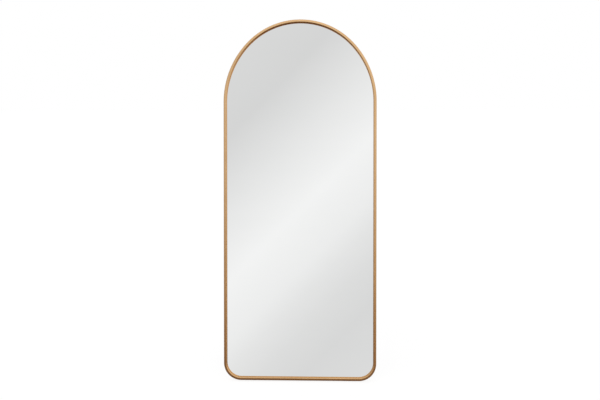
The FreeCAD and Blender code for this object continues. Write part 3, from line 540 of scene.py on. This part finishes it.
for node, count in (("clip_screws", 9), ("brace_screws", 12)):
    screws = [
        turned(screw_profile, head, into_mirror, across, relief=cross_and_thread)
        for head in heads(node, count)
    ]
    fitted(build(f"{node}_crossed", screws), zinc, node)


# The clips and braces. Sheet steel, pressed and zinc plated: nine Z clips press the board
# down round the rim, and three channel braces with end tabs stiffen the back.


def softened(node, name, edge):
    """Copy a pressed, forged or moulded piece, weld its loose triangles, merge those in one
    plane, and round its sharp edges with a narrow bevel."""
    source = nodes[node].data
    mesh = bpy.data.meshes.new(name)
    places = np.empty(3 * len(source.vertices), np.float32)
    source.vertices.foreach_get("co", places)
    triangles = [list(face.vertices) for face in source.polygons]
    mesh.from_pydata(places.reshape(-1, 3).tolist(), [], triangles)
    shell = bmesh.new()
    shell.from_mesh(mesh)
    bmesh.ops.remove_doubles(shell, verts=shell.verts, dist=1e-6)
    flat = math.radians(1)
    bmesh.ops.dissolve_limit(shell, angle_limit=flat, verts=shell.verts, edges=shell.edges)
    shell.to_mesh(mesh)
    shell.free()
    mesh.shade_smooth()
    piece = bpy.data.objects.new(name, mesh)
    bpy.context.scene.collection.objects.link(piece)
    bevel = piece.modifiers.new("rounded_edges", "BEVEL")
    bevel.width = edge
    bevel.segments = 2
    bevel.limit_method = "ANGLE"
    bevel.angle_limit = math.radians(38)
    bevel.harden_normals = True
    return piece


for node in ("retaining_clips", "upper_brace", "hinge_rail", "lower_brace"):
    fitted(softened(node, f"{node}_pressed", 0.0004), zinc, node)


# The hinges. Two pressed brackets are riveted to the rail. Each carries a headed pin with a
# lock nut, on which the stand's lug turns between two nylon washers.

for side in ("right", "left"):
    for part, edge in (("hinge_bracket", 0.0004), ("hinge_pin", 0.0006), ("hinge_nut", 0.0005)):
        node = f"{part}_{side}"
        fitted(softened(node, f"{node}_plated", edge), zinc, node)

rivet_head = 0.0036
rivet_shank = 0.002
rivet_rise = 0.0012
dome_rise = 0.7 * rivet_rise
dome_steps = 8


def rivet_profile(length):
    """The shank's flat end, the shank, the underside of the head, its narrow rim and its low
    dome, which falls with the square of the radius."""
    corners = [(0, -length), (rivet_shank, -length)]
    corners += [(rivet_shank, -rivet_rise), (rivet_head, -rivet_rise)]
    for share in np.linspace(1, 0, dome_steps):
        corners.append((rivet_head * share, -dome_rise * share ** 2))
    roundings = [0.0001, 0.0003, 0.0002, 0.00015] + [0.0002] * dome_steps
    return rounded(corners, roundings, steps=3, closed=False)


for node, count, length in (("bracket_rivets", 8, 0.0069), ("hanger_rivets", 4, 0.0064)):
    profile = rivet_profile(length)
    rivets = [turned(profile, head, into_mirror, across) for head in heads(node, count)]
    fitted(build(f"{node}_domed", rivets), zinc, node)

nylon, tree, shader = new_finish("natural_nylon", Roughness=0.42)
milky = grain(tree, (300, 300, 300), detail=3.0)
tinted(tree, shader, milky, (0.70, 0.68, 0.60), (0.78, 0.76, 0.69))
pressed_in(tree, shader, milky, 0.00003, 0.4)
coat(nylon, "hinge_washers")


# The stand. A 16 mm steel tube bent to a U and powder coated bronze, with a forged lug in
# each end and two ribbed rubber sleeves on the crossbar, which rest on the floor.

hinge_depth = 0.049
hinge_rise = 1.0
hinge = leaned(0, hinge_depth, hinge_rise)
down_leg = np.array([0.0, math.sin(lean), -math.cos(lean)])
behind_leg = np.array([0.0, math.cos(lean), math.sin(lean)])
sleeve_radius = 0.0125
leg_side = 0.357
leg_top = 0.025
leg_length = (hinge[2] - sleeve_radius) / math.cos(lean)
leg_bend = 0.06
tube_radius = 0.008
tube_wall = 0.0012


def on_stand(x, drop):
    """Place points of the stand's middle line: the hinge, plus x across, plus the drop down
    the leg."""
    return hinge + x[:, None] * across + drop[:, None] * down_leg


def circle(radius, count=40, sign=1):
    """Points and normals round a circle; a hollow's normals point to its middle."""
    angles = np.linspace(0, 2 * np.pi, count, endpoint=False)
    ring = np.stack([np.cos(angles), np.sin(angles)], 1)
    return radius * ring, sign * ring


knee = leg_length - leg_bend
stand_path = joined([
    straight((-leg_side, leg_top), (-leg_side, knee), left),
    bend((leg_bend - leg_side, knee), leg_bend, 180, 90, step=3),
    straight((leg_bend - leg_side, leg_length), (leg_side - leg_bend, leg_length), (0, -1)),
    bend((leg_side - leg_bend, knee), leg_bend, 90, 0, step=3),
    straight((leg_side, knee), (leg_side, leg_top), right),
])
coat_sockets = {"Metallic": 0.75, "Coat_Weight": 0.3, "Coat_Roughness": 0.3}
bronze_coat, tree, shader = new_finish("bronze_powder_coat", **coat_sockets)
peel = grain(tree, (420, 420, 420), detail=3.0)
drift = grain(tree, (9, 9, 9), detail=2.0)
tinted(tree, shader, drift, (0.50, 0.29, 0.145), (0.56, 0.335, 0.17))
dulled(tree, shader, peel, 0.36, 0.5)
pressed_in(tree, shader, peel, 0.00006, 0.5)

sections = [circle(tube_radius), circle(tube_radius - tube_wall, sign=-1)]
tube = build("stand_tube_bent", swept(stand_path, on_stand, behind_leg, sections))
fitted(tube, bronze_coat, "stand_tube", "stand")

sleeve_place = 0.23
sleeve_half = 0.03
sleeve_bore = 0.00805
sleeve_end = 0.01235
groove_radius = 0.0116
groove_pitch = 0.0085
groove_half_mouth = 0.0012
groove_half_floor = 0.0006
sleeve_corners = [(sleeve_bore, -sleeve_half), (sleeve_end, -sleeve_half)]
for groove in range(-2, 4):
    middle = (groove - 0.5) * groove_pitch
    sleeve_corners += [
        (sleeve_radius, middle - groove_half_mouth), (groove_radius, middle - groove_half_floor),
        (groove_radius, middle + groove_half_floor), (sleeve_radius, middle + groove_half_mouth),
    ]
sleeve_corners += [(sleeve_end, sleeve_half), (sleeve_bore, sleeve_half)]
sleeve_roundings = [0.0004, 0.0014] + [0.0003] * 24 + [0.0014, 0.0004]
sleeve_section = [
    np.vstack([measures, measures[:1]])
    for measures in rounded(sleeve_corners, sleeve_roundings, steps=4)
]
for side, sign in (("right", 1), ("left", -1)):
    node = f"stand_sleeve_{side}"
    centre = hinge + sign * sleeve_place * across + leg_length * down_leg
    ribbed = turned(sleeve_section, centre, across, down_leg, columns=48)
    fitted(build(f"{node}_ribbed", [ribbed]), rubber, node, "stand")
    node = f"stand_lug_{side}"
    fitted(softened(node, f"{node}_forged", 0.0006), zinc, node, "stand")


# The hangers. A riveted steel strap is curled round the bar of each D ring, and the rings
# are bent from 3 mm plated wire. They swing freely and hang straight down.

for side in ("right", "left"):
    node = f"hanger_strap_{side}"
    fitted(softened(node, f"{node}_curled", 0.0003), zinc, node)
    coat(zinc, f"hanger_ring_{side}")


# The feet. Two clear silicone wedges, moulded to the lean, are stuck under the bottom rail.
# They are set back from the frame's front, out of sight.

silicone, tree, shader = new_finish("clear_silicone", Transmission_Weight=0.85, IOR=1.41)
cloudy = grain(tree, (120, 120, 120), detail=3.0)
tinted(tree, shader, cloudy, (0.88, 0.89, 0.88), (0.95, 0.955, 0.95))
dulled(tree, shader, cloudy, 0.2, 0.34)
for side in ("right", "left"):
    node = f"floor_foot_{side}"
    fitted(softened(node, f"{node}_moulded", 0.0004), silicone, node)


# The floor. A plain pale sheet that runs out of sight and keeps a faint shadow. Mirrors and
# polished metal see past it, to the same soft studio that they see everywhere.


def either(tree, share, first, second):
    """Mix two surfaces or surrounds, from the first at a share of 0 to the second at 1."""
    return add(tree, "ShaderNodeMixShader", {0: share, 1: first, 2: second}).outputs[0]


reach = 60.0
floor_corners = [(-reach, -reach, 0), (reach, -reach, 0), (reach, reach, 0), (-reach, reach, 0)]
floor_mesh = bpy.data.meshes.new("studio_floor")
floor_mesh.from_pydata(floor_corners, [], [(0, 1, 2, 3)])
floor = bpy.data.objects.new("studio_floor", floor_mesh)
bpy.context.scene.collection.objects.link(floor)

floor_sockets = {"Base_Color": (0.82, 0.82, 0.82, 1), "Roughness": 0.8, "Specular_IOR_Level": 0.0}
pale, tree, shader = new_finish("pale_floor", **floor_sockets)
ray = add(tree, "ShaderNodeLightPath").outputs
glow = add(tree, "ShaderNodeEmission", {"Strength": 0.9}).outputs[0]
faint = add(tree, "ShaderNodeBsdfDiffuse", {"Color": (0.15, 0.15, 0.15, 1)}).outputs[0]
to_the_eye = add(tree, "ShaderNodeAddShader", {0: glow, 1: faint}).outputs[0]
lit = either(tree, ray["Is Camera Ray"], shader.outputs[0], to_the_eye)
clear = add(tree, "ShaderNodeBsdfTransparent").outputs[0]
seen_past = either(tree, ray["Is Glossy Ray"], lit, clear)
tree.links.new(seen_past, tree.nodes["Material Output"].inputs["Surface"])
floor_mesh.materials.append(pale)


# The studio. White to the eye. The glass sees a soft grey with a pale band that slants from
# upper right to lower left. Satin metal sees a blur: pale overhead, warm and dark low in
# front, and plain grey behind and beside. A wide softbox overhead casts the faint shadow.

world = bpy.data.worlds.new("studio")
bpy.context.scene.world = world
world.use_nodes = True
tree = world.node_tree
tree.nodes.clear()
direction = add(tree, "ShaderNodeTexCoord").outputs["Generated"]


def towards(axis):
    """How far the direction of sight points along an axis: the dot product of the two."""
    inputs = {0: direction, 1: tuple(axis)}
    return add(tree, "ShaderNodeVectorMath", inputs, operation="DOT_PRODUCT").outputs["Value"]


def colours_along(value, stops):
    """Run through a list of places and colours as a value goes from the first place to the
    last, in straight lines between them."""
    first, last = stops[0][0], stops[-1][0]
    ramp = add(tree, "ShaderNodeValToRGB", {"Fac": rescaled(tree, value, (first, last))})
    elements = ramp.color_ramp.elements
    for place, _ in stops[1:-1]:
        elements.new((place - first) / (last - first))
    for element, (_, colour) in zip(elements, stops):
        element.color = (*colour, 1)
    return ramp.outputs["Color"]


def background(colour, strength=1.0):
    """A surround of one colour, or of a link that carries one, times the strength."""
    return add(tree, "ShaderNodeBackground", {"Color": colour, "Strength": strength}).outputs[0]


def worked_out(operation, *values):
    """One step of arithmetic on numbers, or on links that carry them."""
    return add(tree, "ShaderNodeMath", dict(enumerate(values)), operation=operation).outputs[0]


greys = [
    (-0.90, 0.86), (-0.50, 0.78), (-0.22, 0.70), (-0.11, 0.84), (-0.01, 0.95), (0.08, 0.89),
    (0.12, 0.82), (0.17, 0.76), (0.23, 0.72), (0.50, 0.80), (0.90, 0.88),
]
grey_stops = [(place, (grey, grey, grey)) for place, grey in greys]
in_glass = colours_along(towards(across - up_mirror), grey_stops)
in_front = colours_along(towards((0, 0, 1)), [
    (-1.0, (0.30, 0.23, 0.17)),
    (-0.75, (0.10, 0.06, 0.035)),
    (-0.30, (0.055, 0.027, 0.013)),
    (-0.16, (0.12, 0.055, 0.025)),
    (-0.06, (0.50, 0.33, 0.18)),
    (0.01, (0.70, 0.60, 0.46)),
    (0.14, (0.92, 0.92, 0.92)),
    (0.40, (1.10, 1.13, 1.15)),
    (0.65, (0.92, 0.90, 0.86)),
    (1.0, (0.80, 0.78, 0.76)),
])
behind = colours_along(towards((0, 0, 1)), [
    (-1.0, (0.40, 0.39, 0.38)),
    (-0.10, (0.62, 0.61, 0.60)),
    (0.10, (0.80, 0.81, 0.82)),
    (1.0, (0.95, 0.97, 1.0)),
])
backwards = rescaled(tree, towards((0, 1, 0)), (-0.1, 0.3))
sideways = rescaled(tree, worked_out("ABSOLUTE", towards(across)), (0.55, 0.9))
on_metal = blended(tree, worked_out("MAXIMUM", backwards, sideways), in_front, behind)
from_right = rescaled(tree, towards(across), (-0.3, 0.3), (0.78, 1.12))

# Only sight that comes straight off the glass sees the band. Its ray is singular, which means
# not blurred, and its depth at the surround is 2: one for the glass and one for the surround.
white = (1, 1, 1, 1)
fill = 0.72
past_one_bounce = 2.5
ray = add(tree, "ShaderNodeLightPath").outputs
blurred = background(on_metal, from_right)
for_metal = either(tree, ray["Is Glossy Ray"], background(white, fill), blurred)
at_once = worked_out("LESS_THAN", ray["Ray Depth"], past_one_bounce)
straight_off_glass = worked_out("MULTIPLY", ray["Is Singular Ray"], at_once)
for_glass = either(tree, straight_off_glass, for_metal, background(in_glass))
for_eye = worked_out("MAXIMUM", ray["Is Camera Ray"], ray["Is Transmission Ray"])
surround = either(tree, for_eye, for_glass, background(white))
add(tree, "ShaderNodeOutputWorld", {"Surface": surround})

softbox = bpy.data.lights.new("overhead_softbox", "AREA")
softbox.shape = "RECTANGLE"
softbox.size = 2.8
softbox.size_y = 1.8
softbox.energy = 7
lamp = bpy.data.objects.new("overhead_softbox", softbox)
lamp.location = (-0.6, -1.0, 3.3)
aimed_at = Vector((0, 0, 1.1))
lamp.rotation_euler = (aimed_at - lamp.location).to_track_quat("-Z", "Y").to_euler()
bpy.context.scene.collection.objects.link(lamp)


# The camera. It stands 3.4 m off, 125 mm right of the mirror's middle line, and is turned
# 2.1 degrees left and 0.7 degrees down from the way into the mirror, as the photograph's
# slanting bottom rail and wider left bar show.

view_distance = 3.4
view_aside = 0.125
view_rise = 0.947
yaw = math.radians(2.09)
pitch = math.radians(-0.74)
sensor_width = 36
focal_share = 683.36 / 600
camera_data = bpy.data.cameras.new("camera")
camera_data.sensor_width = sensor_width
camera_data.lens = sensor_width * focal_share
camera = bpy.data.objects.new("camera", camera_data)
camera.location = leaned(view_aside, -view_distance, view_rise)
level_right = math.cos(yaw) * across + math.sin(yaw) * into_mirror
level_ahead = math.cos(yaw) * into_mirror - math.sin(yaw) * across
ahead = math.cos(pitch) * level_ahead + math.sin(pitch) * up_mirror
camera_axes = np.stack([level_right, np.cross(level_right, ahead), -ahead], 1)
camera.rotation_euler = Matrix(camera_axes.tolist()).to_euler()
bpy.context.scene.collection.objects.link(camera)
bpy.context.scene.camera = camera

bpy.context.scene.view_settings.view_transform = "Standard"
